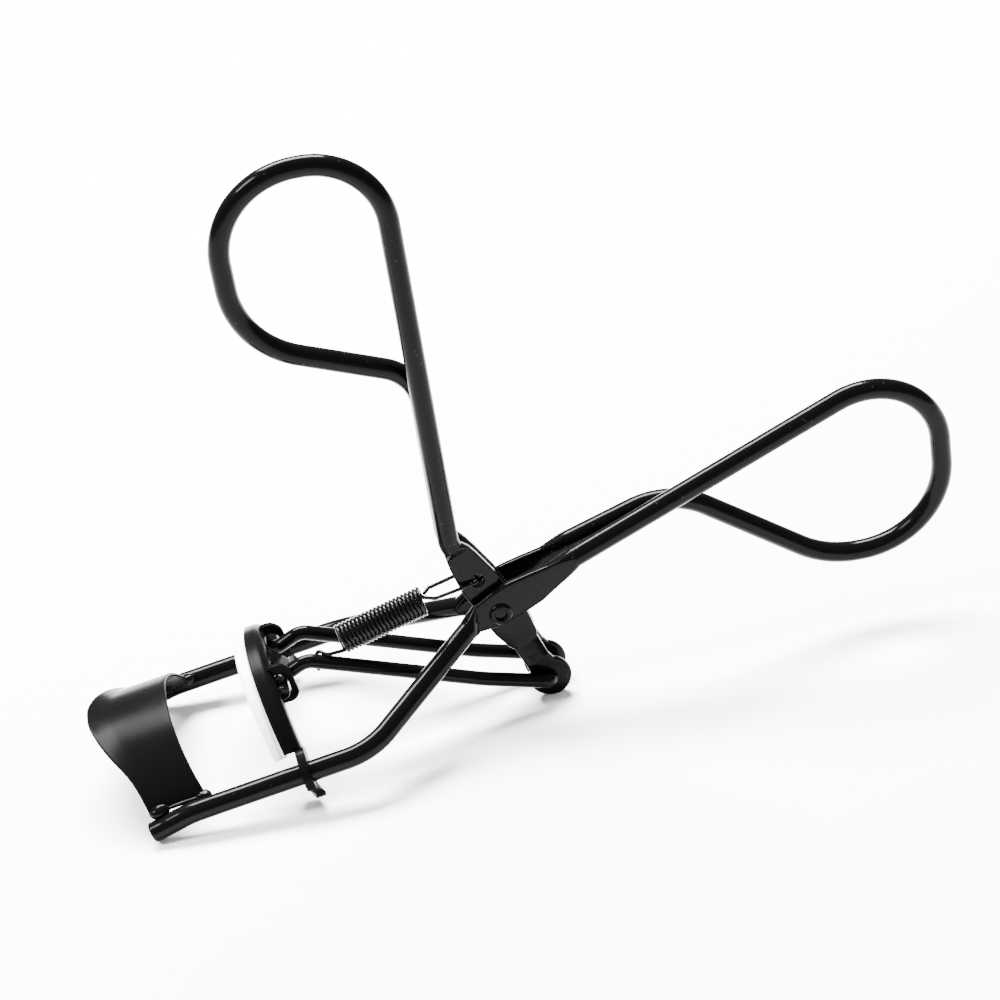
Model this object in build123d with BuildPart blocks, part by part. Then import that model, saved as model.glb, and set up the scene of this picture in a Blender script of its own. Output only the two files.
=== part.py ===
from build123d import *
import os
from math import cos, radians, sin, tan

# Eyelash curler, millimetres.  +X runs along the tool from the fixed jaw to the fixed finger
# loop, +Y across it and +Z up.  It stands the way it is put down: open, on the two front rail
# tips and the two lever paddles.  The origin is on that surface, under the middle of the tool.
# The x values below are counted from the rail tips.
tip_x = -50.28

# The round wire of the frame and of the lever, and the strips it is flattened to at the pivot.
wire_r = 1.3
plate_t = 1.1
plate_half = 2.55
frame_plate_y = 2.2
lever_plate_y = 1.0
strand_y = 1.4

# The rails that the moving jaw slides on.
rail_y = 14.35
rail_tilt = 7.9
rail_z = 2.17
rail_bend_x = 5.0
rail_end_x = 27.8
tip_slope = 17.7

# The pivot of the two levers, and the lever's lower arm below it.
pivot_x = 47.0
pivot_z = 13.6
arm_lean = 23.8
arm_len = 11.9
arm_neck = 5.8
neck_end = 9.6
neck_half = 1.7
paddle_r = 2.71
paddle_t = 1.0
paddle_y = 1.9
spring_hole_up = 5.1
spring_hole_r = 0.92

# The frame's handle above the pivot, and its finger loop.
handle_slope = 21.2
handle_x = 77.0
handle_z = 26.05
handle_root_x = 55.0
loop_right_x = 104.5
loop_low_z = 9.2
return_slope = -37.3
return_x = 83.4
return_z = 13.5

# The lever's handle and its finger loop.
lever_x = 42.4
lever_knee_up = 11.4
lever_top_z = 76.3
lever_left_x = 22.6
lever_low_z = 55.36
lever_tuck_z = 46.4

# The jaws.  Both are bent to arcs about lines along the rails, and lean forward at the crown.
sheet_t = 0.6
jaw_t = 0.7
jaw_crown = 11.0
fixed_crown = 8.2
fixed_r = 15.6
fixed_rear = 5.7
fixed_rear_end = 7.4
fixed_edge_n = 0.9
lip_front = -4.15
jaw_r = 14.9
jaw_front = 17.1
jaw_front_end = 18.0
jaw_rear = 19.6
jaw_depth = 3.3
jaw_wall_end_n = 2.7
tab_r = 2.2
tab_tongue_n = -4.0
tab_tongue_half = 1.6
rail_clearance = 0.075
pad_front = 15.5
pad_front_end = 16.9
pad_rear = 18.2
pad_outer_r = 14.1
pad_bulb_r = 14.6
pad_inner_r = 11.3
pad_end_n = 1.9

# The push rod, the window it passes in the moving jaw, and the lugs that it hooks into.
rod_r = 0.9
rod_y = 3.4
rod_clearance = 0.05
rod_bend_r = 1.0
rod_stub_y = 7.0
lug_a = 20.0
lug_n = 7.0
lug_y = 4.8
lug_slot = 0.62
lug_slack = 0.12
window_n = 8.8
window_half = 5.4

# The rivet, and the return spring.
rivet_r = 0.85
rivet_head_r = 1.45
rivet_head_t = 0.4
rivet_clearance = 0.05
rivet_dimple_r = 0.75
rivet_dimple_depth = 0.5
spring_r = 1.66
spring_wire_r = 0.25
spring_pitch = 0.53
spring_turns = 21.25
hook_r = 1.3

os.makedirs("parts", exist_ok=True)

# The side view of the tool: its local x and y are the tool's X and Z, seen from -Y.
side = Plane(origin=(tip_x, 0, 0), x_dir=(1, 0, 0), z_dir=(0, -1, 0))
# Looking along the rails: local x is the tool's Y, local y is square to the rails, and the
# distance along the rails from the tips is the plane's offset.
along = Vector(cos(radians(rail_tilt)), 0, sin(radians(rail_tilt)))
square = Vector(-sin(radians(rail_tilt)), 0, cos(radians(rail_tilt)))
rails = Plane(origin=(tip_x, 0, rail_z), x_dir=(0, 1, 0), z_dir=along)


def at(x, y, z):
    """A point given by its x from the rail tips."""
    return Vector(x + tip_x, y, z)


def on_rails(a, y, n):
    """A point at a along the rails, y across and n square above them."""
    return Vector(tip_x, y, rail_z) + along * a + square * n


def rail_height(x):
    """Height of the rails' centre line at x."""
    return rail_z + x * tan(radians(rail_tilt))


def crossing(x1, z1, slope1, x2, z2, slope2):
    """Where two straight runs in the side view would meet."""
    m1 = tan(radians(slope1))
    m2 = tan(radians(slope2))
    x = (z2 - z1 + m1 * x1 - m2 * x2) / (m1 - m2)
    return x, z1 + m1 * (x - x1)


def arm_point(u, v):
    """A point of the lever's arm in the side view: u up along it from the pivot, v across."""
    c = cos(radians(arm_lean))
    s = sin(radians(arm_lean))
    return pivot_x - u * s + v * c, pivot_z + u * c + v * s


def tube(points, radii, radius):
    """A round wire along straight runs joined by arcs."""
    with BuildPart(mode=Mode.PRIVATE) as piece:
        with BuildLine() as run:
            FilletPolyline(*points, radius=radii)
        with BuildSketch(Plane(origin=run.line @ 0, z_dir=run.line % 0)):
            Circle(radius)
        sweep()
    return piece.part


def flattened_end(start, direction, middle, half, thickness):
    """The swell where a round wire is pressed flat, from its end into the strip."""
    with BuildPart(mode=Mode.PRIVATE) as piece:
        with BuildSketch(Plane(origin=start, z_dir=direction, x_dir=(0, 1, 0))):
            Circle(wire_r)
        with BuildSketch(Plane(origin=middle, z_dir=direction, x_dir=(0, 1, 0))):
            Ellipse(thickness / 2, half)
        loft()
    return piece.part


def arc_band(centre_n, outer, inner, lowest_n):
    """A band between two arcs, seen along the rails, cut off level at its two ends."""
    with BuildSketch(mode=Mode.PRIVATE) as band:
        with Locations((0, centre_n)):
            Circle(outer)
            Circle(inner, mode=Mode.SUBTRACT)
        with Locations((0, lowest_n)):
            Rectangle(3 * outer, 3 * outer, align=(Align.CENTER, Align.MIN), mode=Mode.INTERSECT)
    return band.sketch


# Shared points: the paddle's centre, the frame handle's root and the corners of its loop.
paddle_x, paddle_z = arm_point(-arm_len, 0)
root_z = handle_z - (handle_x - handle_root_x) * tan(radians(handle_slope)) + 0.5
loop_top_z = handle_z + (loop_right_x - handle_x) * tan(radians(handle_slope))
loop_knee_x = return_x + (loop_low_z - return_z) / tan(radians(return_slope))
hump_x, hump_z = crossing(handle_x, handle_z, handle_slope, return_x, return_z, return_slope)
# The lever's arm: local x is up along it from the pivot and local y is the tool's -Y.
arm_up = Vector(-sin(radians(arm_lean)), 0, cos(radians(arm_lean)))
arm_across = Vector(cos(radians(arm_lean)), 0, sin(radians(arm_lean)))
arm = Plane(origin=at(pivot_x, 0, pivot_z), x_dir=arm_up, z_dir=arm_across)
# The jaws seen square to the rails: local x runs along them and local y is the tool's Y.
plan = Plane(origin=on_rails(0, 0, 0), x_dir=along, z_dir=square)

# Frame wire: one length of wire.  From the near rail tip it runs back along the rail, in and up
# to the pivot, where it is pressed flat, out along the handle, round the finger loop and back
# the same way on the far side.
with BuildPart() as frame_wire:
    for side_y in (-1, 1):
        rail_start = at(rail_bend_x, side_y * rail_y, rail_height(rail_bend_x))
        rail_end = at(rail_end_x, side_y * rail_y, rail_height(rail_end_x))
        rise_end = at(42.3, side_y * 3.1, 12.35)
        tip = at(0, side_y * rail_y, wire_r * cos(radians(tip_slope)))
        add(tube([tip, rail_start, rail_end, rise_end], [12, 9], wire_r))
        strip_start = at(45.4, side_y * frame_plate_y, 13.3)
        add(flattened_end(rise_end, rise_end - rail_end, strip_start, plate_half - 0.4, plate_t))
    near_root = at(handle_root_x + 2.0, -frame_plate_y + 0.1, root_z + 0.77)
    far_root = at(handle_root_x + 2.0, frame_plate_y - 0.1, root_z + 0.77)
    near_strand = at(handle_x - 8, -strand_y, handle_z - 8 * tan(radians(handle_slope)))
    far_strand = at(hump_x, strand_y, hump_z)
    add(
        tube(
            [
                near_root,
                near_strand,
                at(loop_right_x, -0.9, loop_top_z),
                at(loop_right_x, 0.2, loop_low_z),
                at(loop_knee_x, 0.9, loop_low_z),
                far_strand,
                far_root,
            ],
            [30, 9.3, 11.0, 12.0, 9.0],
            wire_r,
        )
    )
    for root, strand, side_y in ((near_root, near_strand, -1), (far_root, far_strand, 1)):
        strip_end = at(handle_root_x - 2.6, side_y * frame_plate_y, root_z - 1.15)
        add(flattened_end(root, root - strand, strip_end, plate_half - 0.3, plate_t))
    for side_y in (-1, 1):
        with BuildSketch(side.offset(side_y * frame_plate_y)):
            with BuildLine():
                FilletPolyline(
                    (43.8, 11.6),
                    (43.9, 15.2),
                    (46.3, 17.0),
                    (52.6, 18.9),
                    (57.0, 19.4),
                    (56.6, 17.2),
                    (50.6, 13.0),
                    (46.2, 11.2),
                    radius=0.7,
                    close=True,
                )
            make_face()
        extrude(amount=plate_t / 2, both=True)
    with BuildSketch(side):
        with Locations((pivot_x, pivot_z)):
            Circle(rivet_r)
    extrude(amount=2 * frame_plate_y, both=True, mode=Mode.SUBTRACT)
frame_wire.part.label = "frame_wire"
export_step(frame_wire.part, "parts/frame_wire.step")

# Fixed jaw: a strip of thin sheet bent to an arc across the rails, longer in front at its middle.
# Its two lower edges rest against the inner sides of the rails.
with BuildPart() as fixed_jaw_plate:
    with BuildSketch(rails.offset(lip_front - 1)):
        add(arc_band(fixed_crown - fixed_r, fixed_r, fixed_r - sheet_t, fixed_edge_n))
    extrude(amount=fixed_rear_end - lip_front + 1)
    with BuildSketch(plan):
        with BuildLine():
            FilletPolyline(
                (fixed_rear_end + 0.1, -14.0),
                (6.3, -10.0),
                (fixed_rear, -4.0),
                (fixed_rear, 4.0),
                (6.3, 10.0),
                (fixed_rear_end + 0.1, 14.0),
                (0.7, 14.0),
                (-0.4, 10.4),
                (-3.2, 5.0),
                (lip_front, 2.4),
                (lip_front, -2.4),
                (-3.2, -5.0),
                (-0.4, -10.4),
                (0.7, -14.0),
                radius=0.5,
                close=True,
            )
        make_face()
    extrude(amount=2 * fixed_crown, mode=Mode.INTERSECT)
fixed_jaw_plate.part.label = "fixed_jaw_plate"
export_step(fixed_jaw_plate.part, "parts/fixed_jaw_plate.step")

# Weld beads: four small lumps of brazing, one at each corner of the fixed jaw, that join its
# edges to the rails.
with BuildPart() as jaw_weld_beads:
    for side_y in (-1, 1):
        for bead_a in (1.6, fixed_rear_end - 0.3):
            with BuildSketch(Plane(origin=on_rails(bead_a - 1.2, side_y * 13.15, 0.95), z_dir=along)):
                Circle(0.55)
            with BuildSketch(Plane(origin=on_rails(bead_a, side_y * 13.2, 1.0), z_dir=along)):
                Circle(0.95)
            with BuildSketch(Plane(origin=on_rails(bead_a + 1.2, side_y * 13.15, 0.95), z_dir=along)):
                Circle(0.55)
            loft()
    add(frame_wire.part, mode=Mode.SUBTRACT)
    add(fixed_jaw_plate.part, mode=Mode.SUBTRACT)
jaw_weld_beads.part.label = "jaw_weld_beads"
export_step(jaw_weld_beads.part, "parts/jaw_weld_beads.step")

# Pivot rivet: a tubular rivet through the frame's and the lever's flattened strips, rolled over
# at its near end.
with BuildPart() as pivot_rivet:
    head_y = frame_plate_y + plate_t / 2
    with BuildSketch(side.offset(-head_y)):
        with Locations((pivot_x, pivot_z)):
            Circle(rivet_r)
    extrude(amount=2 * head_y)
    for face_y in (head_y, -head_y - rivet_head_t):
        with BuildSketch(side.offset(face_y)):
            with Locations((pivot_x, pivot_z)):
                Circle(rivet_head_r)
        extrude(amount=rivet_head_t)
    with BuildSketch(side.offset(head_y + rivet_head_t)):
        with Locations((pivot_x, pivot_z)):
            Circle(rivet_dimple_r)
    extrude(amount=-rivet_dimple_depth, mode=Mode.SUBTRACT)
pivot_rivet.part.label = "pivot_rivet"
export_step(pivot_rivet.part, "parts/pivot_rivet.step")

# Lever wire: the second length of wire.  Its two ends are flattened into paddles below the
# pivot, and it goes up through the pivot and round the upper finger loop.
with BuildPart() as lever_wire:
    near_plate = lever_plate_y - plate_t / 2
    far_plate = lever_plate_y + plate_t / 2
    for side_y in (-1, 1):
        with BuildSketch(side.offset(side_y * lever_plate_y)):
            with BuildLine():
                FilletPolyline(
                    arm_point(9.0, -1.4),
                    arm_point(9.0, 1.4),
                    arm_point(4.5, 2.5),
                    arm_point(-3.0, 2.55),
                    arm_point(-arm_neck - 0.4, neck_half),
                    arm_point(-arm_neck - 0.4, -neck_half),
                    arm_point(-3.0, -2.5),
                    arm_point(4.5, -2.5),
                    radius=0.6,
                    close=True,
                )
            make_face()
        extrude(amount=plate_t / 2, both=True)
        with BuildSketch(arm):
            with BuildLine():
                Polyline(
                    (-arm_neck + 0.8, side_y * near_plate),
                    (-arm_neck + 0.8, side_y * far_plate),
                    (-arm_neck, side_y * far_plate),
                    (-neck_end, side_y * (paddle_y + paddle_t / 2)),
                    (-neck_end - 1.2, side_y * (paddle_y + paddle_t / 2)),
                    (-neck_end - 1.2, side_y * (paddle_y - paddle_t / 2)),
                    (-neck_end, side_y * (paddle_y - paddle_t / 2)),
                    (-arm_neck, side_y * near_plate),
                    close=True,
                )
            make_face()
        extrude(amount=neck_half, both=True)
        with BuildSketch(side.offset(side_y * paddle_y)):
            with Locations((paddle_x, paddle_z)):
                Circle(paddle_r)
        extrude(amount=paddle_t / 2, both=True)
        swell_top = arm_point(9.3, 0)
        swell_low = arm_point(5.8, 0)
        add(
            flattened_end(
                at(swell_top[0], side_y * strand_y, swell_top[1]),
                arm_up,
                at(swell_low[0], side_y * lever_plate_y, swell_low[1]),
                2.1,
                plate_t,
            )
        )
    wire_start = arm_point(9.1, 0)
    knee = arm_point(lever_knee_up, 0)
    add(
        tube(
            [
                at(wire_start[0], -strand_y, wire_start[1]),
                at(knee[0], -strand_y, knee[1]),
                at(lever_x, -strand_y, lever_top_z),
                at(lever_left_x, -0.5, lever_top_z),
                at(lever_left_x, 0.5, lever_low_z),
                at(lever_x, strand_y, lever_tuck_z),
                at(knee[0], strand_y, knee[1]),
                at(wire_start[0], strand_y, wire_start[1]),
            ],
            [8, 8.8, 10.5, 11.5, 6.0, 8],
            wire_r,
        )
    )
    with BuildSketch(side):
        with Locations((pivot_x, pivot_z)):
            Circle(rivet_r + rivet_clearance)
        with Locations((paddle_x, paddle_z)):
            Circle(rod_r + rod_clearance)
        with Locations(arm_point(spring_hole_up, 0)):
            Circle(spring_hole_r)
    extrude(amount=2 * frame_plate_y, both=True, mode=Mode.SUBTRACT)
lever_wire.part.label = "lever_wire"
export_step(lever_wire.part, "parts/lever_wire.step")

# Push rod: one thin rod bent to a long U.  Its middle turns in the two paddles, and its two
# ends are bent outwards through the lugs of the moving jaw.
lug_point = on_rails(lug_a, 0, lug_n)
with BuildPart() as push_rod:
    rod_points = []
    for side_y in (-1, 1):
        half = [
            Vector(lug_point.X, side_y * rod_stub_y, lug_point.Z),
            Vector(lug_point.X, side_y * rod_y, lug_point.Z),
            at(22.4, side_y * rod_y, 13.6),
            at(43.5, side_y * rod_y, 5.25),
            at(paddle_x, side_y * rod_y, paddle_z),
        ]
        rod_points += half[::-side_y]
    add(
        tube(
            rod_points,
            [rod_bend_r, 2.4, 30, rod_bend_r, rod_bend_r, 30, 2.4, rod_bend_r],
            rod_r,
        )
    )
push_rod.part.label = "push_rod"
export_step(push_rod.part, "parts/push_rod.step")

# Moving jaw: a strip of sheet bent to an arc, with a top wall that covers the pad and a back
# wall behind it.  The back wall ends in tabs with holes that ride on the rails, two lugs that
# the push rod hooks into, and a small tongue in the middle.
jaw_centre = jaw_crown - jaw_r
with BuildPart() as moving_jaw:
    with BuildSketch(rails.offset(jaw_front)):
        add(arc_band(jaw_centre, jaw_r, jaw_r - jaw_t, jaw_wall_end_n))
    extrude(amount=jaw_rear - jaw_front)
    with BuildSketch(plan.offset(jaw_wall_end_n)):
        with BuildLine():
            ThreePointArc((jaw_front_end, -jaw_r), (jaw_front, 0), (jaw_front_end, jaw_r))
            Polyline(
                (jaw_front_end, jaw_r),
                (jaw_rear, jaw_r),
                (jaw_rear, -jaw_r),
                (jaw_front_end, -jaw_r),
            )
        make_face()
    extrude(amount=jaw_crown, mode=Mode.INTERSECT)
    with BuildSketch(rails.offset(jaw_rear - jaw_t)):
        add(arc_band(jaw_centre, jaw_r, jaw_r - jaw_depth, 0))
        with Locations((-rail_y, 0), (rail_y, 0)):
            Circle(tab_r)
        for side_y in (-1, 1):
            with Locations((side_y * (rail_y - 0.6), 0)):
                Rectangle(2 * tab_tongue_half, -tab_tongue_n, align=(Align.CENTER, Align.MAX))
        with Locations((0, 0)):
            Rectangle(2 * window_half, window_n, align=(Align.CENTER, Align.MIN), mode=Mode.SUBTRACT)
        with Locations((-rail_y, 0), (rail_y, 0)):
            Circle(wire_r + rail_clearance, mode=Mode.SUBTRACT)
    extrude(amount=jaw_t)
    for side_y in (-1, 1):
        with BuildSketch(side.offset(side_y * lug_y)):
            with BuildLine():
                FilletPolyline(
                    *[
                        (on_rails(a, 0, n).X - tip_x, on_rails(a, 0, n).Z)
                        for a, n in (
                            (jaw_rear - jaw_t, 9.8),
                            (21.0, 9.8),
                            (21.9, 8.6),
                            (21.9, 4.55),
                            (18.3, 4.55),
                            (18.3, 8.6),
                        )
                    ],
                    radius=0.5,
                    close=True,
                )
            make_face()
        extrude(amount=jaw_t / 2, both=True)
    with BuildSketch(Plane(origin=on_rails(lug_a, 0, lug_n), x_dir=square, z_dir=(0, -1, 0))):
        SlotCenterToCenter(2 * lug_slot, 2 * (rod_r + lug_slack))
    extrude(amount=2 * lug_y, both=True, mode=Mode.SUBTRACT)
    tongue_run = (along * 2.5 - square * 3.7).normalized()
    tongue_plane = Plane(
        origin=on_rails(jaw_rear - jaw_t / 2, 0, 9.2),
        x_dir=(0, 1, 0),
        z_dir=Vector(0, 1, 0).cross(tongue_run),
    )
    with BuildSketch(tongue_plane):
        with BuildLine():
            Polyline((-1.7, -0.3), (1.7, -0.3), (1.7, 3.1), (0.3, 4.5), (-0.3, 4.5), (-1.7, 3.1), close=True)
        make_face()
    extrude(amount=jaw_t / 2, both=True)
moving_jaw.part.label = "moving_jaw"
export_step(moving_jaw.part, "parts/moving_jaw.step")

# Silicone pad: a soft strip pushed into the channel of the moving jaw, with a thicker front
# that the fixed jaw closes against.
with BuildPart() as silicone_pad:
    with BuildSketch(rails.offset(pad_front)):
        add(arc_band(jaw_centre, pad_bulb_r, pad_inner_r, pad_end_n))
    extrude(amount=jaw_front - pad_front - 0.1)
    with BuildSketch(rails.offset(jaw_front - 0.1)):
        add(arc_band(jaw_centre, pad_outer_r, pad_inner_r, pad_end_n))
    extrude(amount=pad_rear - jaw_front + 0.1)
    with BuildSketch(plan):
        with BuildLine():
            ThreePointArc((pad_front_end, -jaw_r), (pad_front, 0), (pad_front_end, jaw_r))
            Polyline(
                (pad_front_end, jaw_r),
                (pad_rear, jaw_r),
                (pad_rear, -jaw_r),
                (pad_front_end, -jaw_r),
            )
        make_face()
    extrude(amount=jaw_crown, mode=Mode.INTERSECT)
silicone_pad.part.label = "silicone_pad"
export_step(silicone_pad.part, "parts/silicone_pad.step")

# Return spring: a close-wound extension spring.  Its front hook goes round the near leg of the
# push rod and its rear hook through the hole in the lever's near strip.
spring_start = at(27.1, -2.75, 15.3)
spring_run = (at(37.9, -1.75, 17.3) - spring_start).normalized()
with BuildPart() as return_spring:
    with BuildLine():
        coil = Helix(
            spring_pitch,
            spring_pitch * spring_turns,
            spring_r,
            center=spring_start,
            direction=spring_run,
        )
    with BuildSketch(Plane(origin=coil @ 0, z_dir=coil % 0)):
        Circle(spring_wire_r)
    sweep()
    add(
        tube(
            [
                coil @ 0,
                coil @ 0 - (coil % 0) * 1.2,
                at(26.2, -rod_y + hook_r, 10.8),
                at(26.2, -rod_y - hook_r, 10.8),
                at(26.0, -rod_y - hook_r, 13.3),
            ],
            [0.45, hook_r - 0.1, hook_r - 0.1],
            spring_wire_r,
        )
    )
    spring_hole = arm_point(spring_hole_up, 0)
    add(
        tube(
            [
                coil @ 1,
                coil @ 1 + (coil % 1) * 0.7,
                at(40.2, -1.9, 17.3),
                at(spring_hole[0], -1.85, spring_hole[1]),
                at(spring_hole[0], -0.15, spring_hole[1]),
                at(42.3, -0.15, 18.8),
                at(38.9, -0.8, 18.2),
            ],
            [0.35, 0.6, 0.4, 0.4, 2.0],
            spring_wire_r,
        )
    )
return_spring.part.label = "return_spring"
export_step(return_spring.part, "parts/return_spring.step")
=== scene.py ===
import math

import bmesh
import bpy
import numpy as np
from mathutils import Matrix, Vector


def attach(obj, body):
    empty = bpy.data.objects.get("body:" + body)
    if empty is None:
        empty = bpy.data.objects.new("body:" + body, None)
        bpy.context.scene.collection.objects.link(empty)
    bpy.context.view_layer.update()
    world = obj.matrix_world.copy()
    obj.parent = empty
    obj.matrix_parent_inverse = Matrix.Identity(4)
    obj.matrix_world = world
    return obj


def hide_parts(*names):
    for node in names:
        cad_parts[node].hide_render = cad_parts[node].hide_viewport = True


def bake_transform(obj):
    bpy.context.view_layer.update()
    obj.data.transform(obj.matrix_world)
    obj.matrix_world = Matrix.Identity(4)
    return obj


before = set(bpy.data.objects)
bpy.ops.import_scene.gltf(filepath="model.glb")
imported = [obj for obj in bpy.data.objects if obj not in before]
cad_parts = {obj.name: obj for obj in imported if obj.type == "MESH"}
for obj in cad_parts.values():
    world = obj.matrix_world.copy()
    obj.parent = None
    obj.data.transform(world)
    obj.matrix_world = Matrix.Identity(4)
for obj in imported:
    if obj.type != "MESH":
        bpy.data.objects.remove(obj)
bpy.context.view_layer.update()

# --- Frame wire ---------------------------------------------------------------------------
# One length of steel wire, dipped in gloss black lacquer.  It makes the two rails, rises to the
# pivot, is pressed flat there, and goes on as the handle and the lower finger loop.
MM = 0.001
TIP_X = -50.28
WIRE_R = 1.3
PLATE_HALF_T = 0.55
FRAME_PLATE_Y = 2.2
RAIL_Y = 14.35
RAIL_TILT = math.radians(7.9)
RAIL_Z = 2.17
TIP_Z = 1.24
TIP_BEND_X = 5.0
RISE_X = 27.8
RING_POINTS = 32


def at(x, y, z):
    """A point in millimetres, with x counted from the rail tips."""
    return Vector((x + TIP_X, y, z))


def bent_line(corners, bend_radii, step=0.4):
    """Points along straight runs joined by arcs."""
    points = [corners[0].copy()]
    for before, corner, after, radius in zip(corners, corners[1:], corners[2:], bend_radii):
        into = (corner - before).normalized()
        out = (after - corner).normalized()
        turn = into.angle(out)
        inward = (out - into * into.dot(out)).normalized()
        start = corner - into * (radius * math.tan(turn / 2))
        add_run(points, start, step)
        centre = start + inward * radius
        arc_steps = max(3, int(radius * turn / step) + 1)
        for k in range(1, arc_steps + 1):
            angle = turn * k / arc_steps
            points.append(centre - inward * (radius * math.cos(angle)) + into * (radius * math.sin(angle)))
    add_run(points, corners[-1], step)
    return points


def add_run(points, end, step):
    """Adds a straight run of evenly spaced points up to end."""
    start = points[-1].copy()
    steps = max(1, int((end - start).length / step))
    points.extend(start.lerp(end, k / steps) for k in range(1, steps + 1))


def wire_sections(points, radius=WIRE_R):
    """Round sections along a run of wire, each (centre, sideways arm, upward arm, squareness)."""
    sections = []
    for k, point in enumerate(points):
        ahead = points[min(k + 1, len(points) - 1)]
        behind = points[max(k - 1, 0)]
        run = (ahead - behind).normalized()
        sideways = Vector((0, 1, 0))
        sideways = (sideways - run * sideways.dot(run)).normalized()
        upward = sideways.cross(run) * -1
        sections.append((point.copy(), sideways * radius, upward * radius, 2.0))
    return sections


def strip_section(top, bottom, y, half_thickness=PLATE_HALF_T, squareness=5.0):
    """A section of a flattened strip, between two points of its side view."""
    high = at(top[0], y, top[1])
    low = at(bottom[0], y, bottom[1])
    return ((high + low) / 2, Vector((0, half_thickness, 0)), (high - low) / 2, squareness)


def join_sections(first, last, steps, ease=True):
    """Sections that change smoothly from one to another."""
    made = []
    for k in range(1, steps):
        t = k / steps
        if ease:
            t = t * t * (3 - 2 * t)
        made.append(tuple(a + (b - a) * t for a, b in zip(first, last)))
    return made


def ring(section):
    """The points round one section."""
    centre, sideways, upward, squareness = section
    power = 2 / squareness
    made = []
    for k in range(RING_POINTS):
        angle = 2 * math.pi * (k + 0.5) / RING_POINTS
        c = math.cos(angle)
        s = math.sin(angle)
        made.append(
            centre
            + sideways * math.copysign(abs(c) ** power, c)
            + upward * math.copysign(abs(s) ** power, s)
        )
    return made


def skin(name, rings):
    """A smooth mesh over a row of rings, with its two ends capped."""
    size = len(rings[0])
    verts = [p * MM for r in rings for p in r]
    faces = []
    for i in range(len(rings) - 1):
        near = i * size
        far = near + size
        for k in range(size):
            m = (k + 1) % size
            faces.append((near + k, near + m, far + m, far + k))
    faces.append(tuple(range(size))[::-1])
    faces.append(tuple(range((len(rings) - 1) * size, len(rings) * size)))
    mesh = bpy.data.meshes.new(name)
    mesh.from_pydata(verts, [], faces)
    bm = bmesh.new()
    bm.from_mesh(mesh)
    bmesh.ops.recalc_face_normals(bm, faces=bm.faces)
    bm.to_mesh(mesh)
    bm.free()
    mesh.shade_smooth()
    piece = bpy.data.objects.new(name, mesh)
    bpy.context.scene.collection.objects.link(piece)
    return piece


def rounded_end(sections, round_off=0.28):
    """Sections that round off the cut end of a wire, from the end inwards."""
    centre, sideways, upward, squareness = sections[0]
    outward = (centre - sections[1][0]).normalized()
    made = []
    for k in range(5):
        angle = k / 4 * math.pi / 2
        reach = 1 - round_off * (1 - math.sin(angle)) / sideways.length
        shift = outward * (-round_off * (1 - math.cos(angle)))
        made.append((centre + shift, sideways * reach, upward * reach, squareness))
    return made


def speckled_surface():
    """Shader group: small bumps and dust specks in a dried coat, as a height and two masks."""
    group = bpy.data.node_groups.new("coat_surface", "ShaderNodeTree")
    group.interface.new_socket("Bump Scale", in_out="INPUT", socket_type="NodeSocketFloat")
    group.interface.new_socket("Speck Size", in_out="INPUT", socket_type="NodeSocketFloat")
    group.interface.new_socket("Height", in_out="OUTPUT", socket_type="NodeSocketFloat")
    group.interface.new_socket("Specks", in_out="OUTPUT", socket_type="NodeSocketFloat")
    group.interface.new_socket("Smears", in_out="OUTPUT", socket_type="NodeSocketFloat")
    nodes = group.nodes
    links = group.links
    given = nodes.new("NodeGroupInput")
    result = nodes.new("NodeGroupOutput")
    coords = nodes.new("ShaderNodeTexCoord")
    waves = nodes.new("ShaderNodeTexNoise")
    waves.inputs["Detail"].default_value = 2.0
    links.new(coords.outputs["Object"], waves.inputs["Vector"])
    links.new(given.outputs["Bump Scale"], waves.inputs["Scale"])
    dust = nodes.new("ShaderNodeTexVoronoi")
    links.new(coords.outputs["Object"], dust.inputs["Vector"])
    links.new(given.outputs["Speck Size"], dust.inputs["Scale"])
    speck = nodes.new("ShaderNodeMapRange")
    speck.inputs["From Min"].default_value = 0.16
    speck.inputs["From Max"].default_value = 0.05
    links.new(dust.outputs["Distance"], speck.inputs["Value"])
    patches = nodes.new("ShaderNodeTexNoise")
    patches.inputs["Scale"].default_value = 120.0
    links.new(coords.outputs["Object"], patches.inputs["Vector"])
    picked = nodes.new("ShaderNodeMapRange")
    picked.inputs["From Min"].default_value = 0.52
    picked.inputs["From Max"].default_value = 0.6
    links.new(patches.outputs["Fac"], picked.inputs["Value"])
    few = nodes.new("ShaderNodeMath")
    few.operation = "MULTIPLY"
    links.new(speck.outputs["Result"], few.inputs[0])
    links.new(picked.outputs["Result"], few.inputs[1])
    raised = nodes.new("ShaderNodeMath")
    raised.operation = "MULTIPLY_ADD"
    raised.inputs[1].default_value = 0.12
    links.new(few.outputs["Value"], raised.inputs[0])
    links.new(waves.outputs["Fac"], raised.inputs[2])
    links.new(raised.outputs["Value"], result.inputs["Height"])
    links.new(few.outputs["Value"], result.inputs["Specks"])
    links.new(patches.outputs["Fac"], result.inputs["Smears"])
    return group


COAT_SURFACE = speckled_surface()


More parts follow.
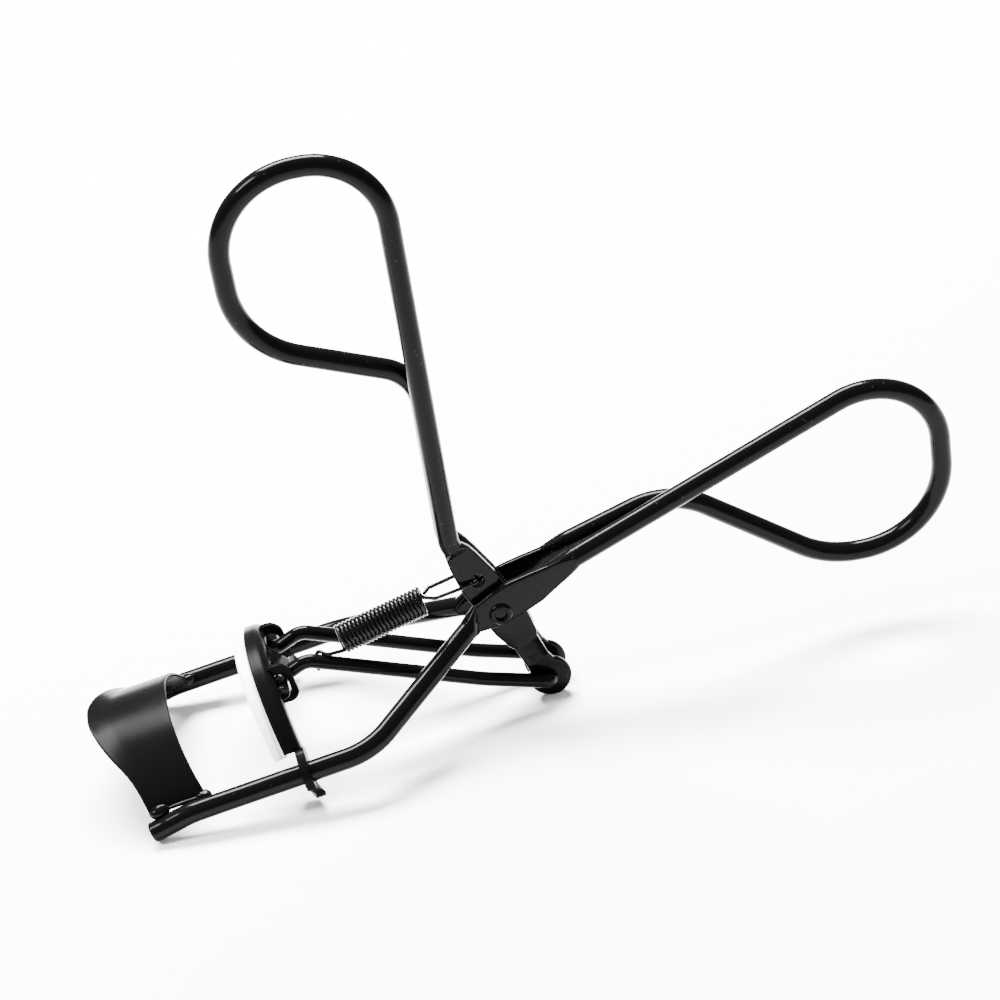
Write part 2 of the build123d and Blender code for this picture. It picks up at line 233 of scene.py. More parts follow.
def coated(name, colour, roughness, shine, bump_scale, bump_height, speck_tint):
    """A coated metal: colour, gloss, strength of shine and the size of the coat's bumps."""
    material = bpy.data.materials.new(name)
    material.use_nodes = True
    nodes = material.node_tree.nodes
    links = material.node_tree.links
    shader = nodes["Principled BSDF"]
    surface = nodes.new("ShaderNodeGroup")
    surface.node_tree = COAT_SURFACE
    surface.inputs["Bump Scale"].default_value = bump_scale
    surface.inputs["Speck Size"].default_value = 900.0
    tint = nodes.new("ShaderNodeMix")
    tint.data_type = "RGBA"
    tint.inputs["A"].default_value = (*colour, 1)
    tint.inputs["B"].default_value = (*speck_tint, 1)
    links.new(surface.outputs["Specks"], tint.inputs["Factor"])
    links.new(tint.outputs["Result"], shader.inputs["Base Color"])
    gloss = nodes.new("ShaderNodeMapRange")
    gloss.inputs["From Min"].default_value = 0.3
    gloss.inputs["From Max"].default_value = 0.7
    gloss.inputs["To Min"].default_value = roughness * 0.8
    gloss.inputs["To Max"].default_value = roughness * 1.25
    links.new(surface.outputs["Smears"], gloss.inputs["Value"])
    links.new(gloss.outputs["Result"], shader.inputs["Roughness"])
    bump = nodes.new("ShaderNodeBump")
    bump.inputs["Strength"].default_value = 1.0
    bump.inputs["Distance"].default_value = bump_height
    links.new(surface.outputs["Height"], bump.inputs["Height"])
    links.new(bump.outputs["Normal"], shader.inputs["Normal"])
    shader.inputs["IOR"].default_value = 1.5
    shader.inputs["Specular IOR Level"].default_value = shine
    return material


LACQUER = coated(
    "gloss_black_lacquer",
    colour=(0.0012, 0.0012, 0.0013),
    roughness=0.13,
    shine=0.035,
    bump_scale=420.0,
    bump_height=0.00005,
    speck_tint=(0.012, 0.012, 0.012),
)


def rail_height(x):
    """Height of the rails' centre line at x."""
    return RAIL_Z + x * math.tan(RAIL_TILT)


def frame_rail(y_sign):
    """Sections of one rail, from its cut tip to where the strip begins."""
    corners = [
        at(0, y_sign * RAIL_Y, TIP_Z),
        at(TIP_BEND_X, y_sign * RAIL_Y, rail_height(TIP_BEND_X)),
        at(RISE_X, y_sign * RAIL_Y, rail_height(RISE_X)),
        at(42.7, y_sign * 2.9, 12.5),
    ]
    sections = wire_sections(bent_line(corners, [12, 9]))
    return rounded_end(sections) + sections[1:]


def frame_strip(y_sign):
    """Sections of the flattened strip at the pivot, from front to back: (top, bottom) pairs."""
    edges = [
        ((44.1, 15.4), (44.2, 11.5)),
        ((46.2, 16.6), (46.6, 11.7)),
        ((48.3, 17.5), (49.8, 12.8)),
        ((51.2, 18.2), (52.4, 14.0)),
        ((53.6, 18.7), (54.8, 15.7)),
    ]
    sections = [strip_section(top, bottom, y_sign * FRAME_PLATE_Y) for top, bottom in edges]
    made = [sections[0]]
    for first, last in zip(sections, sections[1:]):
        made += join_sections(first, last, 8, ease=False) + [last]
    return made


handle_corners = [
    at(57.2, -2.1, 18.95),
    at(69, -1.4, 23.1),
    at(104.5, -0.9, 36.72),
    at(104.5, 0.2, 9.2),
    at(89.05, 0.9, 9.2),
    at(70.5, 1.4, 23.35),
    at(57.2, 2.1, 18.95),
]
handle = wire_sections(bent_line(handle_corners, [30, 9.3, 11.0, 12.0, 10.0]))


def turned_back(sections):
    """The same sections followed the other way."""
    return [(centre, sideways, -upward, power) for centre, sideways, upward, power in sections[::-1]]


near_rail = frame_rail(-1)
far_rail = turned_back(frame_rail(1))
near_strip = frame_strip(-1)
far_strip = turned_back(frame_strip(1))
frame_sections = (
    near_rail
    + join_sections(near_rail[-1], near_strip[0], 10)
    + near_strip
    + join_sections(near_strip[-1], handle[0], 12)
    + handle
    + join_sections(handle[-1], far_strip[0], 12)
    + far_strip
    + join_sections(far_strip[-1], far_rail[0], 10)
    + far_rail
)
frame_wire = skin("frame_wire_lacquered", [ring(s) for s in frame_sections])
frame_wire.data.materials.append(LACQUER)
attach(frame_wire, "frame")
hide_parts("frame_wire")

# --- Fixed jaw ----------------------------------------------------------------------------
# A strip of thin steel sheet, rolled to an arc across the rails and coated satin black.  Its
# front edge is flared up into a lip, and both edges are rounded over.
ALONG = Vector((math.cos(RAIL_TILT), 0, math.sin(RAIL_TILT)))
SQUARE = Vector((-math.sin(RAIL_TILT), 0, math.cos(RAIL_TILT)))
FIXED_CROWN = 8.2
FIXED_R = 15.6
SHEET_T = 0.6
LIP_LENGTH = 2.4
LIP_FLARE = 0.5
RIM_REACH = 0.18
FIXED_END_N = 0.85


def on_rails(a, y, n):
    """A point at a along the rails, y across and n square above them."""
    return at(0, y, RAIL_Z) + ALONG * a + SQUARE * n


def on_arc(a, radius, angle, centre_n):
    """A point on an arc across the rails; the angle is from the crown."""
    return on_rails(a, radius * math.sin(angle), centre_n + radius * math.cos(angle))


SHEET = coated(
    "satin_black_sheet",
    colour=(0.0016, 0.0016, 0.0017),
    roughness=0.25,
    shine=0.009,
    bump_scale=150.0,
    bump_height=0.00002,
    speck_tint=(0.003, 0.003, 0.003),
)


def sheet_edge(half_widths, places):
    """A smooth edge of the jaw's blank: its place along the rails for a distance from the middle."""
    y = np.linspace(0, half_widths[-1], 135)
    a = np.interp(y, half_widths, places)
    run = np.concatenate([np.full(8, a[0]), a, np.full(8, a[-1])])
    return y, np.convolve(run, np.ones(17) / 17, mode="valid")


front_y, front_a = sheet_edge(
    [0, 2, 4.9, 7, 8.6, 9.9, 11.5, 12.6, 13.4], [-4.1, -4.05, -3.25, -2.4, -1.5, -0.65, 0, 0.3, 0.55]
)
rear_y, rear_a = sheet_edge([0, 4, 7, 9.6, 11.6, 13.4], [5.68, 5.72, 5.95, 6.3, 6.75, 7.4])
fixed_centre = FIXED_CROWN - FIXED_R
fixed_half_angle = math.acos((FIXED_END_N - fixed_centre) / FIXED_R)
fixed_rings = []
for k in range(97):
    angle = fixed_half_angle * (k / 48 - 1)
    front = float(np.interp(FIXED_R * abs(math.sin(angle)), front_y, front_a))
    rear = float(np.interp(FIXED_R * abs(math.sin(angle)), rear_y, rear_a))
    outer = []
    inner = []
    for m in range(25):
        a = front + (rear - front) * (m / 24) ** 1.3
        flare = LIP_FLARE * max(0.0, (front + LIP_LENGTH - a) / LIP_LENGTH) ** 1.8
        outer.append(on_arc(a, FIXED_R + flare, angle, fixed_centre))
        inner.append(on_arc(a, FIXED_R + flare - SHEET_T, angle, fixed_centre))
    rear_rim = [
        on_arc(rear + RIM_REACH * math.sin(t), FIXED_R - SHEET_T / 2 * (1 - math.cos(t)), angle, fixed_centre)
        for t in np.linspace(0.35, math.pi - 0.35, 5)
    ]
    front_rim = [
        on_arc(
            front - RIM_REACH * math.sin(t),
            FIXED_R + LIP_FLARE - SHEET_T / 2 * (1 + math.cos(t)),
            angle,
            fixed_centre,
        )
        for t in np.linspace(0.35, math.pi - 0.35, 5)
    ]
    fixed_rings.append(outer + rear_rim + inner[::-1] + front_rim)
fixed_jaw = skin("fixed_jaw_sheet", fixed_rings)
fixed_jaw.data.materials.append(SHEET)
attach(fixed_jaw, "frame")
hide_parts("fixed_jaw_plate")

# --- Weld beads ---------------------------------------------------------------------------
# Four lumps of brazing at the corners of the fixed jaw, joined by a thin seam along each rail
# where the lacquer has filled the joint.
BEAD_FRONT_A = 1.5
BEAD_REAR_A = 7.2
BEAD_Y = 13.25


def bead(y_sign, a, length, width, seed):
    """One lump, with a slightly uneven surface."""
    bm = bmesh.new()
    bmesh.ops.create_uvsphere(bm, u_segments=28, v_segments=18, radius=1)
    centre = on_rails(a, y_sign * BEAD_Y, 1.0)
    for v in bm.verts:
        p = v.co.copy()
        swell = 1 + 0.07 * math.sin(3 * p.x + seed) * math.cos(4 * p.y + 2 * seed)
        p = Vector((p.x * length, p.y * width, p.z * width * 0.85)) * swell
        v.co = (centre + ALONG * p.x + Vector((0, p.y, 0)) + SQUARE * p.z) * MM
    mesh = bpy.data.meshes.new("bead")
    bm.to_mesh(mesh)
    bm.free()
    mesh.shade_smooth()
    return mesh


def joined(name, meshes):
    """One object made of several meshes."""
    bm = bmesh.new()
    for mesh in meshes:
        bm.from_mesh(mesh)
    mesh = bpy.data.meshes.new(name)
    bm.to_mesh(mesh)
    bm.free()
    piece = bpy.data.objects.new(name, mesh)
    bpy.context.scene.collection.objects.link(piece)
    return piece


bead_meshes = []
for y_sign in (-1, 1):
    bead_meshes.append(bead(y_sign, BEAD_FRONT_A, 1.35, 0.95, 1.0 + y_sign))
    bead_meshes.append(bead(y_sign, BEAD_REAR_A, 1.0, 0.8, 2.5 - y_sign))
    bead_meshes.append(bead(y_sign, (BEAD_FRONT_A + BEAD_REAR_A) / 2, 3.6, 0.28, 4.0))
beads = joined("jaw_beads", bead_meshes)
beads.data.shade_smooth()
beads.data.materials.append(LACQUER)
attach(beads, "frame")
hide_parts("jaw_weld_beads")

# --- Pivot rivet --------------------------------------------------------------------------
# A tubular steel rivet, lacquered black, through all four strips.  Its near end is rolled over
# into a ring round a small crater, and its far end has a low domed head.
PIVOT_X = 47.0
PIVOT_Z = 13.6
RIVET_R = 0.85


def ring_round(x, y, z, radius, steps):
    """A ring of points round a line along Y."""
    turns = [2 * math.pi * k / steps for k in range(steps)]
    return [at(x + radius * math.cos(t), y, z + radius * math.sin(t)) for t in turns]


near_head = [(0.0, -2.35), (0.3, -2.36), (0.55, -2.45), (0.68, -2.7), (0.74, -2.98), (0.86, -3.13)]
near_head += [(1.05, -3.17), (1.25, -3.1), (1.42, -2.95), (1.46, -2.8), (1.46, -2.7)]
far_head = [(1.45, 2.72), (1.45, 2.85), (1.38, 3.0), (1.1, 3.12), (0.6, 3.17), (0.0, 3.18)]
rivet_profile = near_head + [(RIVET_R, -2.7), (RIVET_R, 2.7)] + far_head
rivet_rings = [ring_round(PIVOT_X, y, PIVOT_Z, max(radius, 0.02), 40) for radius, y in rivet_profile]
rivet = skin("pivot_rivet_rolled", rivet_rings)
rivet.data.materials.append(LACQUER)
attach(rivet, "frame")
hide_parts("pivot_rivet")

# --- Lever wire ---------------------------------------------------------------------------
# The second length of wire, lacquered the same way.  Its ends are flattened into paddles below
# the pivot, and its middle is the upper finger loop.
ARM_LEAN = math.radians(23.8)
ARM_LENGTH = 11.9
LEVER_PLATE_Y = 1.0
LOOP_TOP_Z = 76.3
LOOP_FRONT_X = 22.6
PADDLE_Y = 1.9
PADDLE_R = 2.7
STRAND_Y = 1.4


def arm_point(u, v):
    """A side-view point of the lever's arm: u up along it from the pivot, v across it."""
    c = math.cos(ARM_LEAN)
    s = math.sin(ARM_LEAN)
    return PIVOT_X - u * s + v * c, PIVOT_Z + u * c + v * s


def lever_strip(y_sign):
    """Sections of one paddle, its neck and the flat strip, from the bottom up."""
    sections = []
    for k in range(15):
        angle = math.radians(12 + 127 * k / 14)
        u = -ARM_LENGTH - PADDLE_R * math.cos(angle)
        half = PADDLE_R * math.sin(angle)
        sections.append(strip_section(arm_point(u, -half), arm_point(u, half), y_sign * PADDLE_Y, 0.5))
    for u, left, right, y in (
        (-8.9, 1.65, 1.6, PADDLE_Y - 0.05),
        (-6.3, 1.65, 1.7, LEVER_PLATE_Y + 0.05),
        (-5.5, 2.05, 2.1, LEVER_PLATE_Y),
        (-3.0, 2.5, 2.55, LEVER_PLATE_Y),
        (4.5, 2.5, 2.45, LEVER_PLATE_Y),
        (8.2, 1.95, 2.0, LEVER_PLATE_Y),
        (9.6, 1.6, 1.75, LEVER_PLATE_Y + 0.05),
    ):
        section = strip_section(arm_point(u, -left), arm_point(u, right), y_sign * y)
        sections += join_sections(sections[-1], section, 8, ease=u < -5.5) + [section]
    return sections


knee = arm_point(11.6, 0)
wire_foot = arm_point(10.8, 0)
lever_corners = [
    at(wire_foot[0], -STRAND_Y, wire_foot[1]),
    at(knee[0], -STRAND_Y, knee[1]),
    at(42.4, -STRAND_Y, LOOP_TOP_Z),
    at(LOOP_FRONT_X, -0.5, LOOP_TOP_Z),
    at(LOOP_FRONT_X, 0.5, 55.36),
    at(42.4, STRAND_Y, 46.4),
    at(knee[0], STRAND_Y, knee[1]),
    at(wire_foot[0], STRAND_Y, wire_foot[1]),
]
lever_run = wire_sections(bent_line(lever_corners, [3.5, 8.8, 10.5, 11.5, 6.0, 3.5]))
near_lever = lever_strip(-1)
far_lever = turned_back(lever_strip(1))
lever_sections = (
    near_lever
    + join_sections(near_lever[-1], lever_run[0], 10)
    + lever_run
    + join_sections(lever_run[-1], far_lever[0], 10)
    + far_lever
)
lever_wire = skin("lever_wire_lacquered", [ring(s) for s in lever_sections])


def drill(piece, x, z, radius):
    """Cuts a round hole through both strips of a piece, along Y."""
    cutter = skin("cutter", [ring_round(x, y, z, radius, 48) for y in (-2.2, 2.2)])
    cut = piece.modifiers.new("hole", "BOOLEAN")
    cut.object = cutter
    cut.solver = "EXACT"
    bpy.context.view_layer.update()
    mesh = bpy.data.meshes.new_from_object(piece.evaluated_get(bpy.context.evaluated_depsgraph_get()))
    piece.modifiers.clear()
    piece.data = mesh
    mesh.set_sharp_from_angle(angle=math.radians(50))
    bpy.data.objects.remove(cutter)


SPRING_HOLE_UP = 5.1
SPRING_HOLE_R = 0.95
hole_x, hole_z = arm_point(SPRING_HOLE_UP, 0)
drill(lever_wire, hole_x, hole_z, SPRING_HOLE_R)
lever_wire.data.materials.append(LACQUER)
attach(lever_wire, "lever")
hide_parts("lever_wire")

# --- Push rod -----------------------------------------------------------------------------
# A thinner lacquered rod bent to a long U.  It turns in the paddles, and its two ends are bent
# outwards through the lugs of the moving jaw.
ROD_R = 0.9
ROD_Y = 3.4
ROD_END_Y = 7.0
LUG_A = 20.0
LUG_N = 7.0
PADDLE_X, PADDLE_Z = arm_point(-ARM_LENGTH, 0)


def round_sections(points, radius):
    """Round sections carried along a line without twisting, whichever way it turns."""
    sections = []
    sideways = Vector((0.3, 0.5, 0.8))
    for k, point in enumerate(points):
        run = (points[min(k + 1, len(points) - 1)] - points[max(k - 1, 0)]).normalized()
        sideways = (sideways - run * sideways.dot(run)).normalized()
        sections.append((point.copy(), sideways * radius, run.cross(sideways) * radius, 2.0))
    return sections


lug = on_rails(LUG_A, 0, LUG_N)
rod_half = [
    Vector((lug.x, ROD_END_Y, lug.z)),
    Vector((lug.x, ROD_Y, lug.z)),
    at(22.4, ROD_Y, 13.6),
    at(43.5, ROD_Y, 5.25),
    at(PADDLE_X, ROD_Y, PADDLE_Z),
]
flip = Vector((1, -1, 1))
rod_corners = [p * flip for p in rod_half] + rod_half[::-1]
rod_line = bent_line(rod_corners, [1.0, 2.4, 30, 1.0, 1.0, 30, 2.4, 1.0], step=0.3)
rod_sections = round_sections(rod_line, ROD_R)
rod_start = rounded_end(rod_sections, 0.2)
rod_finish = rounded_end(rod_sections[::-1], 0.2)[::-1]
rod_sections = rod_start + rod_sections[1:-1] + rod_finish
push_rod = skin("push_rod_lacquered", [ring(s) for s in rod_sections])
push_rod.data.materials.append(LACQUER)
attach(push_rod, "push_rod")
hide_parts("push_rod")

# --- Moving jaw ---------------------------------------------------------------------------
# Thin steel sheet with a satin black coat, pressed to an arched angle: a top wall over the pad
# and a back wall.  Tabs with holes ride on the rails, lugs take the rod, a tongue hangs between.
JAW_R = 14.9
JAW_T = 0.7
JAW_CROWN = 11.0
JAW_CENTRE = JAW_CROWN - JAW_R
JAW_FRONT = 17.1
FRONT_LEAN = 0.9
JAW_REAR = 19.6
JAW_DEPTH = 3.3
JAW_BEND_R = 1.6
INNER_BEND_R = JAW_BEND_R - JAW_T
JAW_END_N = 2.7
JAW_END_ANGLE = math.acos((JAW_END_N - JAW_CENTRE) / JAW_R)
LEAST_DEPTH = 2.0
EDGE = 0.1
WINDOW_N = 8.8
WINDOW_HALF = 5.4
END_LEAN = 0.6
TAB_T = 1.15


def back_wall_depth(angle):
    """How far the back wall reaches in from the arc: less over the window for the rod."""
    y = abs(JAW_R * math.sin(angle))
    t = min(1.0, max(0.0, (y - WINDOW_HALF) / 1.2))
    shallow = JAW_R - (WINDOW_N - JAW_CENTRE) / math.cos(angle)
    return shallow + (JAW_DEPTH - shallow) * t * t * (3 - 2 * t)


jaw_rings = []
for k in range(101):
    angle = JAW_END_ANGLE * (k / 50 - 1)
    lean = (angle / JAW_END_ANGLE) ** 2
    front = JAW_FRONT + FRONT_LEAN * lean
    rear = JAW_REAR + END_LEAN * lean
    bend_a = rear - JAW_BEND_R
    bend_r = JAW_R - JAW_BEND_R
    depth = max(back_wall_depth(angle), LEAST_DEPTH)
    flat = bend_a - front
    wall = depth - JAW_BEND_R - EDGE
    outline = [(front, JAW_R - 0.12), (front + EDGE, JAW_R)]
    outline += [(front + flat * m / 6, JAW_R) for m in range(1, 6)]
    for m in range(7):
        t = math.pi / 2 * m / 6
        outline.append((bend_a + JAW_BEND_R * math.sin(t), bend_r + JAW_BEND_R * math.cos(t)))
    outline += [(rear, bend_r - wall * m / 4) for m in range(1, 5)]
    outline += [(rear - EDGE, JAW_R - depth), (rear - JAW_T + EDGE, JAW_R - depth)]
    outline += [(rear - JAW_T, bend_r - wall * m / 4) for m in range(4, 0, -1)]
    for m in range(5):
        t = math.pi / 2 * (1 - m / 4)
        outline.append((bend_a + INNER_BEND_R * math.sin(t), bend_r + INNER_BEND_R * math.cos(t)))
    outline += [(front + flat * m / 6, JAW_R - JAW_T) for m in range(5, 0, -1)]
    outline += [(front + EDGE, JAW_R - JAW_T), (front, JAW_R - JAW_T + 0.12)]
    jaw_rings.append([on_arc(a, r, angle, JAW_CENTRE) for a, r in outline])
jaw_wall = skin("moving_jaw_wall", jaw_rings)


SOFTENING = 0.07


def stamped(name, outline, holes, thickness, place):
    """A flat stamping with softened edges: a filled outline with holes, put in place."""
    curve = bpy.data.curves.new(name, "CURVE")
    curve.dimensions = "2D"
    curve.fill_mode = "BOTH"
    curve.extrude = (thickness / 2 - SOFTENING) * MM
    curve.bevel_depth = SOFTENING * MM
    curve.bevel_resolution = 2
    curve.offset = -SOFTENING * MM
    for loop in [outline] + holes:
        spline = curve.splines.new("POLY")
        spline.points.add(len(loop) - 1)
        spline.use_cyclic_u = True
        for point, (x, y) in zip(spline.points, loop):
            point.co = (x * MM, y * MM, 0, 1)
    shape = bpy.data.objects.new(name, curve)
    bpy.context.scene.collection.objects.link(shape)
    bpy.context.view_layer.update()
    mesh = bpy.data.meshes.new_from_object(shape.evaluated_get(bpy.context.evaluated_depsgraph_get()))
    bpy.data.objects.remove(shape)
    mesh.transform(place)
    bm = bmesh.new()
    bm.from_mesh(mesh)
    bmesh.ops.remove_doubles(bm, verts=bm.verts, dist=0.000002)
    bmesh.ops.recalc_face_normals(bm, faces=bm.faces)
    bm.to_mesh(mesh)
    bm.free()
    mesh.shade_smooth()
    mesh.set_sharp_from_angle(angle=math.radians(40))
    return mesh


def rounded_loop(points, radius, steps=6):
    """A closed outline with its corners rounded."""
    made = []
    count = len(points)
    for k in range(count):
        corner = Vector(points[k])
        into = corner - Vector(points[k - 1])
        out = Vector(points[(k + 1) % count]) - corner
        cut = min(radius, into.length * 0.45, out.length * 0.45)
        start = corner - into.normalized() * cut
        end = corner + out.normalized() * cut
        for m in range(steps + 1):
            t = m / steps
            made.append(tuple(start * (1 - t) ** 2 + corner * (2 * t * (1 - t)) + end * t**2))
    return made


def circle_loop(x, y, radius, steps=40):
    """A round hole's outline."""
    return [
        (x + radius * math.cos(2 * math.pi * k / steps), y + radius * math.sin(2 * math.pi * k / steps))
        for k in range(steps)
    ]


def placement(origin, x_axis, y_axis):
    """The matrix that puts a flat stamping's own axes at a place, in metres."""
    z_axis = x_axis.cross(y_axis)
    matrix = Matrix((x_axis, y_axis, z_axis)).transposed().to_4x4()
    matrix.translation = origin * MM
    return matrix


TAB_MIDDLE_Y = 13.6
TWIST_FROM = 1.5
TWIST_OVER = 1.2
LUG_Y = 4.8
SLOT_R = 1.02
SLOT_REACH = 0.66
wall_foot_r = JAW_R - JAW_DEPTH
tab_outline = [
    (JAW_R * math.sin(JAW_END_ANGLE) - 0.05, JAW_END_N + 0.1),
    (14.9, 2.15),
    (15.9, 1.45),
    (16.5, 0.2),
    (16.35, -1.1),
    (15.5, -2.1),
    (15.35, -3.2),
    (14.7, -3.9),
    (12.9, -3.9),
    (12.25, -3.1),
    (12.15, -1.2),
    (11.3, 0.3),
    (wall_foot_r * math.sin(JAW_END_ANGLE), JAW_CENTRE + wall_foot_r * math.cos(JAW_END_ANGLE)),
]
lug_corners = [(-0.9, 3), (0.6, 3), (1.75, 1.9), (1.85, -1.7)]
lug_corners += [(1.1, -2.6), (-0.7, -2.6), (-1.55, -1.9), (-1.6, 1.6)]
lug_outline = rounded_loop(lug_corners, 0.6)
slot_loop = [
    (SLOT_R * math.cos(t), SLOT_R * math.sin(t) + (SLOT_REACH if math.sin(t) > 0 else -SLOT_REACH))
    for t in np.linspace(0.001, 2 * math.pi, 36, endpoint=False)
]
jaw_meshes = [jaw_wall.data]
for y_sign in (-1, 1):
    outline = rounded_loop([(y_sign * y, n) for y, n in tab_outline], 0.9)
    hole = circle_loop(y_sign * RAIL_Y, 0, WIRE_R + 0.09)
    tab_middle = on_rails(JAW_REAR + END_LEAN - JAW_T / 2, 0, 0)
    tab = stamped("tab", outline, [hole], TAB_T, placement(tab_middle, Vector((0, 1, 0)), SQUARE))
    for vertex in tab.vertices:
        below = -(vertex.co / MM - tab_middle).dot(SQUARE) - TWIST_FROM
        twist = min(1.0, max(0.0, below / TWIST_OVER))
        vertex.co += ALONG * (twist * (0.2 + (abs(vertex.co.y / MM) - TAB_MIDDLE_Y) * 0.35) * MM)
    jaw_meshes.append(tab)
    place = placement(on_rails(LUG_A, y_sign * LUG_Y, LUG_N), ALONG, SQUARE)
    jaw_meshes.append(stamped("lug", lug_outline, [slot_loop], JAW_T, place))

tongue_line = bent_line(
    [on_rails(19.25, 0, 9.9), on_rails(19.25, 0, 8.75), on_rails(21.75, 0, 5.2)], [0.8], step=0.12
)
TONGUE_HALF = 1.7
tongue_rings = []
for k, point in enumerate(tongue_line):
    run = (tongue_line[min(k + 1, len(tongue_line) - 1)] - tongue_line[max(k - 1, 0)]).normalized()
    left = sum((tongue_line[m + 1] - tongue_line[m]).length for m in range(k, len(tongue_line) - 1))
    half = TONGUE_HALF * min(1.0, 0.18 + left / 1.5)
    tongue_rings.append(
        ring((point, Vector((0, half, 0)), run.cross(Vector((0, 1, 0))) * (JAW_T / 2 - 0.03), 7.0))
    )
tongue = skin("tongue", tongue_rings)
jaw_meshes.append(tongue.data)
moving_jaw = joined("moving_jaw_sheet", jaw_meshes)
moving_jaw.data.materials.clear()
moving_jaw.data.materials.append(SHEET)
bpy.data.objects.remove(jaw_wall)
bpy.data.objects.remove(tongue)
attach(moving_jaw, "moving_jaw")
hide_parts("moving_jaw")

# --- Silicone pad -------------------------------------------------------------------------
# A moulded strip of soft white silicone, pushed into the channel of the moving jaw.  Its front
# stands out of the channel in a thicker rounded bead that the fixed jaw presses into.
PAD_FRONT = 15.5
PAD_LEAN = 1.05
PAD_REAR = 18.2
PAD_DEPTH = PAD_REAR - PAD_FRONT
PAD_INNER_R = 11.35
PAD_OUTER_R = 14.12
PAD_BEAD_R = 14.3
PAD_MIDDLE_R = 13.4
PAD_END_N = 1.9
pad_outline = rounded_loop(
    [
        (0, PAD_INNER_R),
        (0, PAD_BEAD_R),
        (1.4, PAD_BEAD_R),
        (1.7, PAD_OUTER_R),
        (PAD_DEPTH, PAD_OUTER_R),
        (PAD_DEPTH, PAD_INNER_R),
    ],
    0.5,
)
pad_half_angle = math.acos((PAD_END_N - JAW_CENTRE) / PAD_MIDDLE_R)
pad_middle = Vector((PAD_DEPTH / 2, 12.8))
pad_rings = []
for k in range(-4, 95):
    inside = min(max(k, 0), 90)
    angle = pad_half_angle * (inside / 45 - 1)
    shrink = 1.0
    push = 0.0
    if k < 0 or k > 90:
        over = (-k if k < 0 else k - 90) / 4
        shrink = 1 - 0.16 * (1 - math.sqrt(max(0.0, 1 - over**2)))
        push = 0.3 * over * (-1 if k < 0 else 1) / PAD_MIDDLE_R
    section = [pad_middle + (Vector(p) - pad_middle) * shrink for p in pad_outline]
    pad_front = PAD_FRONT + PAD_LEAN * (angle / pad_half_angle) ** 2
    stretch = (PAD_REAR - pad_front) / PAD_DEPTH
    pad_rings.append(
        [on_arc(PAD_REAR - (PAD_DEPTH - p.x) * stretch, p.y, angle + push, JAW_CENTRE) for p in section]
    )
pad = skin("silicone_pad_moulded", pad_rings)
SILICONE = bpy.data.materials.new("white_silicone")
SILICONE.use_nodes = True
silicone_shader = SILICONE.node_tree.nodes["Principled BSDF"]
silicone_shader.inputs["Base Color"].default_value = (0.83, 0.83, 0.82, 1)
silicone_shader.inputs["Roughness"].default_value = 0.42
silicone_shader.inputs["Subsurface Weight"].default_value = 0.25
silicone_shader.inputs["Subsurface Radius"].default_value = (0.0012, 0.001, 0.0009)
silicone_shader.inputs["Subsurface Scale"].default_value = 1.0
pad.data.materials.append(SILICONE)
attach(pad, "moving_jaw")
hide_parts("silicone_pad")

# --- Return spring ------------------------------------------------------------------------
# A close-wound extension spring of thin black wire.  Its front end is hooked round the near
# leg of the push rod, and its rear hook goes through the hole in the lever's near strip.
SPRING_R = 1.66
SPRING_WIRE_R = 0.25
COILS = 21.5
coil_front = at(27.0, -2.75, 15.0)
coil_rear = at(37.9, -1.75, 17.3)
coil_run = (coil_rear - coil_front).normalized()
coil_up = (Vector((0, 0, 1)) - coil_run * coil_run.z).normalized()
coil_side = coil_run.cross(coil_up)
TURN_STEPS = 28
front_hook = bent_line(
    [
        at(23.7, -ROD_Y, 11.9),
        at(23.7, -ROD_Y + 1.2, 11.85),
        at(23.9, -ROD_Y + 1.2, 14.2),
        at(25.0, -ROD_Y - 0.1, 13.75),
        coil_front - coil_up * SPRING_R,
    ],
    [0.8, 0.9, 0.9],
    step=0.15,
)
spring_line = front_hook[:-1]
coil_steps = round(COILS * TURN_STEPS)
for k in range(coil_steps + 1):
    turn = math.pi + 2 * math.pi * k / TURN_STEPS
    spring_line.append(
        coil_front.lerp(coil_rear, k / coil_steps)
        + coil_up * (SPRING_R * math.cos(turn))
        + coil_side * (SPRING_R * math.sin(turn))
    )
rear_hook = bent_line(
    [
        coil_rear + coil_up * SPRING_R,
        coil_rear + coil_up * SPRING_R * 0.8 + coil_side * SPRING_R * 0.75,
        at(39.4, -2.2, 17.5),
        at(hole_x, -1.86, hole_z),
        at(hole_x, -0.15, hole_z),
        at(42.4, -0.2, 18.85),
        at(38.9, -0.75, 18.3),
        at(38.2, -1.4, 18.0),
    ],
    [0.5, 1.0, 0.4, 0.4, 1.5, 0.5],
    step=0.15,
)
spring_line += rear_hook[1:]
spring = skin("return_spring_coiled", [ring(s)[::4] for s in round_sections(spring_line, SPRING_WIRE_R)])
SPRING_COAT = coated(
    "black_spring_wire",
    colour=(0.0015, 0.0015, 0.0015),
    roughness=0.17,
    shine=0.08,
    bump_scale=500.0,
    bump_height=0.00001,
    speck_tint=(0.004, 0.004, 0.004),
)
spring.data.materials.append(SPRING_COAT)
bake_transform(spring)
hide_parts("return_spring")

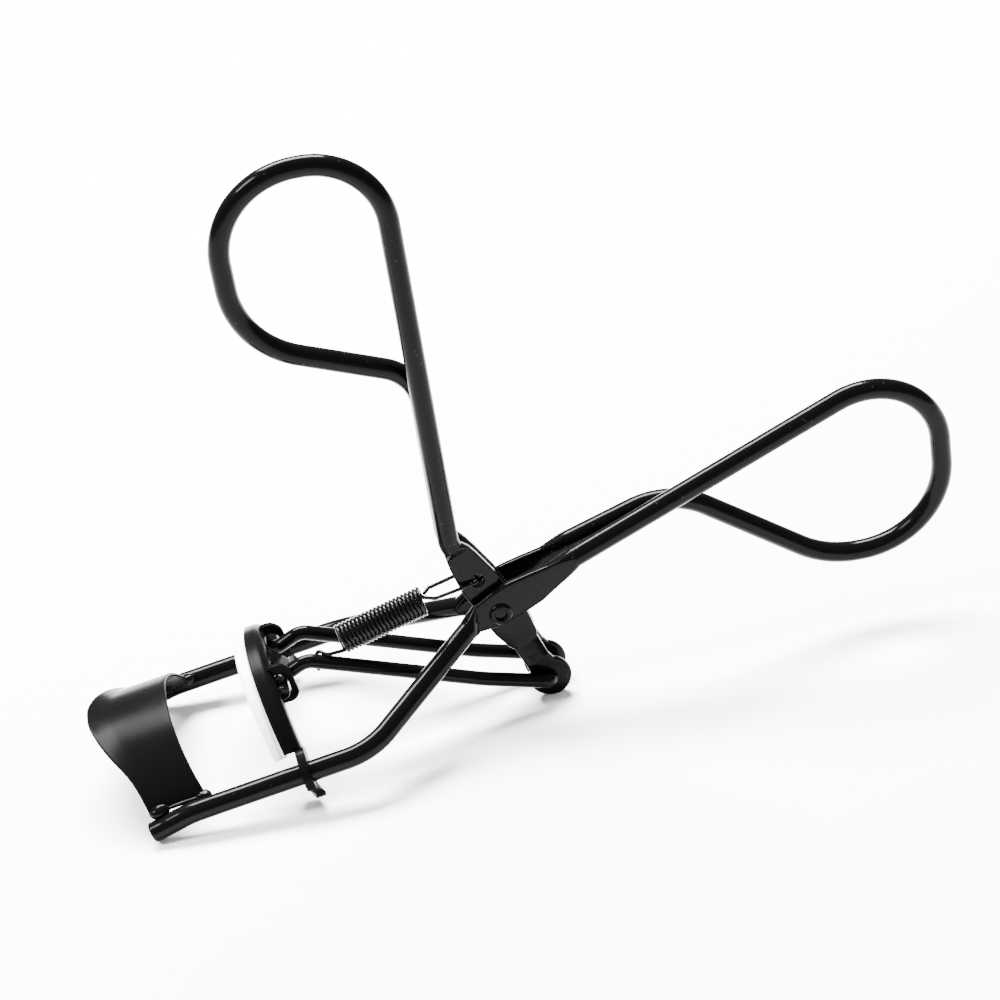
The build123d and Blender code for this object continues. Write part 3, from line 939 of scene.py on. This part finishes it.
# --- Floor, light and camera --------------------------------------------------------------
# A plain white table, soft light from above and from the left, and a long lens.
floor_mesh = bpy.data.meshes.new("floor")
FLOOR_HALF = 3.0
floor_corners = [(x * FLOOR_HALF, y * FLOOR_HALF, 0) for x, y in ((-1, -1), (1, -1), (1, 1), (-1, 1))]
floor_mesh.from_pydata(floor_corners, [], [(0, 1, 2, 3)])
floor = bpy.data.objects.new("floor", floor_mesh)
bpy.context.scene.collection.objects.link(floor)
paper = bpy.data.materials.new("white_paper")
paper.use_nodes = True
paper_shader = paper.node_tree.nodes["Principled BSDF"]
paper_shader.inputs["Base Color"].default_value = (0.92, 0.92, 0.92, 1)
paper_shader.inputs["Roughness"].default_value = 0.9
floor_mesh.materials.append(paper)

world = bpy.data.worlds.new("studio")
world.use_nodes = True
world.node_tree.nodes["Background"].inputs["Color"].default_value = (1, 1, 1, 1)
world.node_tree.nodes["Background"].inputs["Strength"].default_value = 0.9
bpy.context.scene.world = world


def soft_light(name, location, aim, size, power):
    """A rectangular soft light, aimed at a point."""
    light = bpy.data.lights.new(name, "AREA")
    light.shape = "RECTANGLE"
    light.size = size[0]
    light.size_y = size[1]
    light.energy = power
    lamp = bpy.data.objects.new(name, light)
    lamp.location = location
    lamp.rotation_euler = (Vector(aim) - Vector(location)).to_track_quat("-Z", "Y").to_euler()
    bpy.context.scene.collection.objects.link(lamp)


soft_light("overhead_light", (-0.03, 0.3, 0.5), (0, 0, 0.01), (0.42, 0.2), 50.0)
soft_light("left_light", (-0.5, -0.05, 0.55), (0, 0, 0.02), (0.2, 0.2), 14.0)

VIEW_TURN = math.radians(4.832)
VIEW_DROP = math.radians(30.015)
VIEW_ROLL = math.radians(-9.943)
ahead = Vector((math.sin(VIEW_TURN), math.cos(VIEW_TURN), 0))
look = ahead * math.cos(VIEW_DROP) - Vector((0, 0, math.sin(VIEW_DROP)))
level = Vector((math.cos(VIEW_TURN), -math.sin(VIEW_TURN), 0))
upright = level.cross(look)
right = level * math.cos(VIEW_ROLL) + upright * math.sin(VIEW_ROLL)
up = upright * math.cos(VIEW_ROLL) - level * math.sin(VIEW_ROLL)
camera_data = bpy.data.cameras.new("camera")
camera_data.lens = 104.4
camera_data.sensor_width = 36
camera_data.clip_start = 0.01
camera_data.clip_end = 10
camera = bpy.data.objects.new("camera", camera_data)
camera.matrix_world = Matrix((right, up, -look)).transposed().to_4x4()
camera.location = at(23.864, -303.632, 203.887) * MM
bpy.context.scene.collection.objects.link(camera)
bpy.context.scene.camera = camera
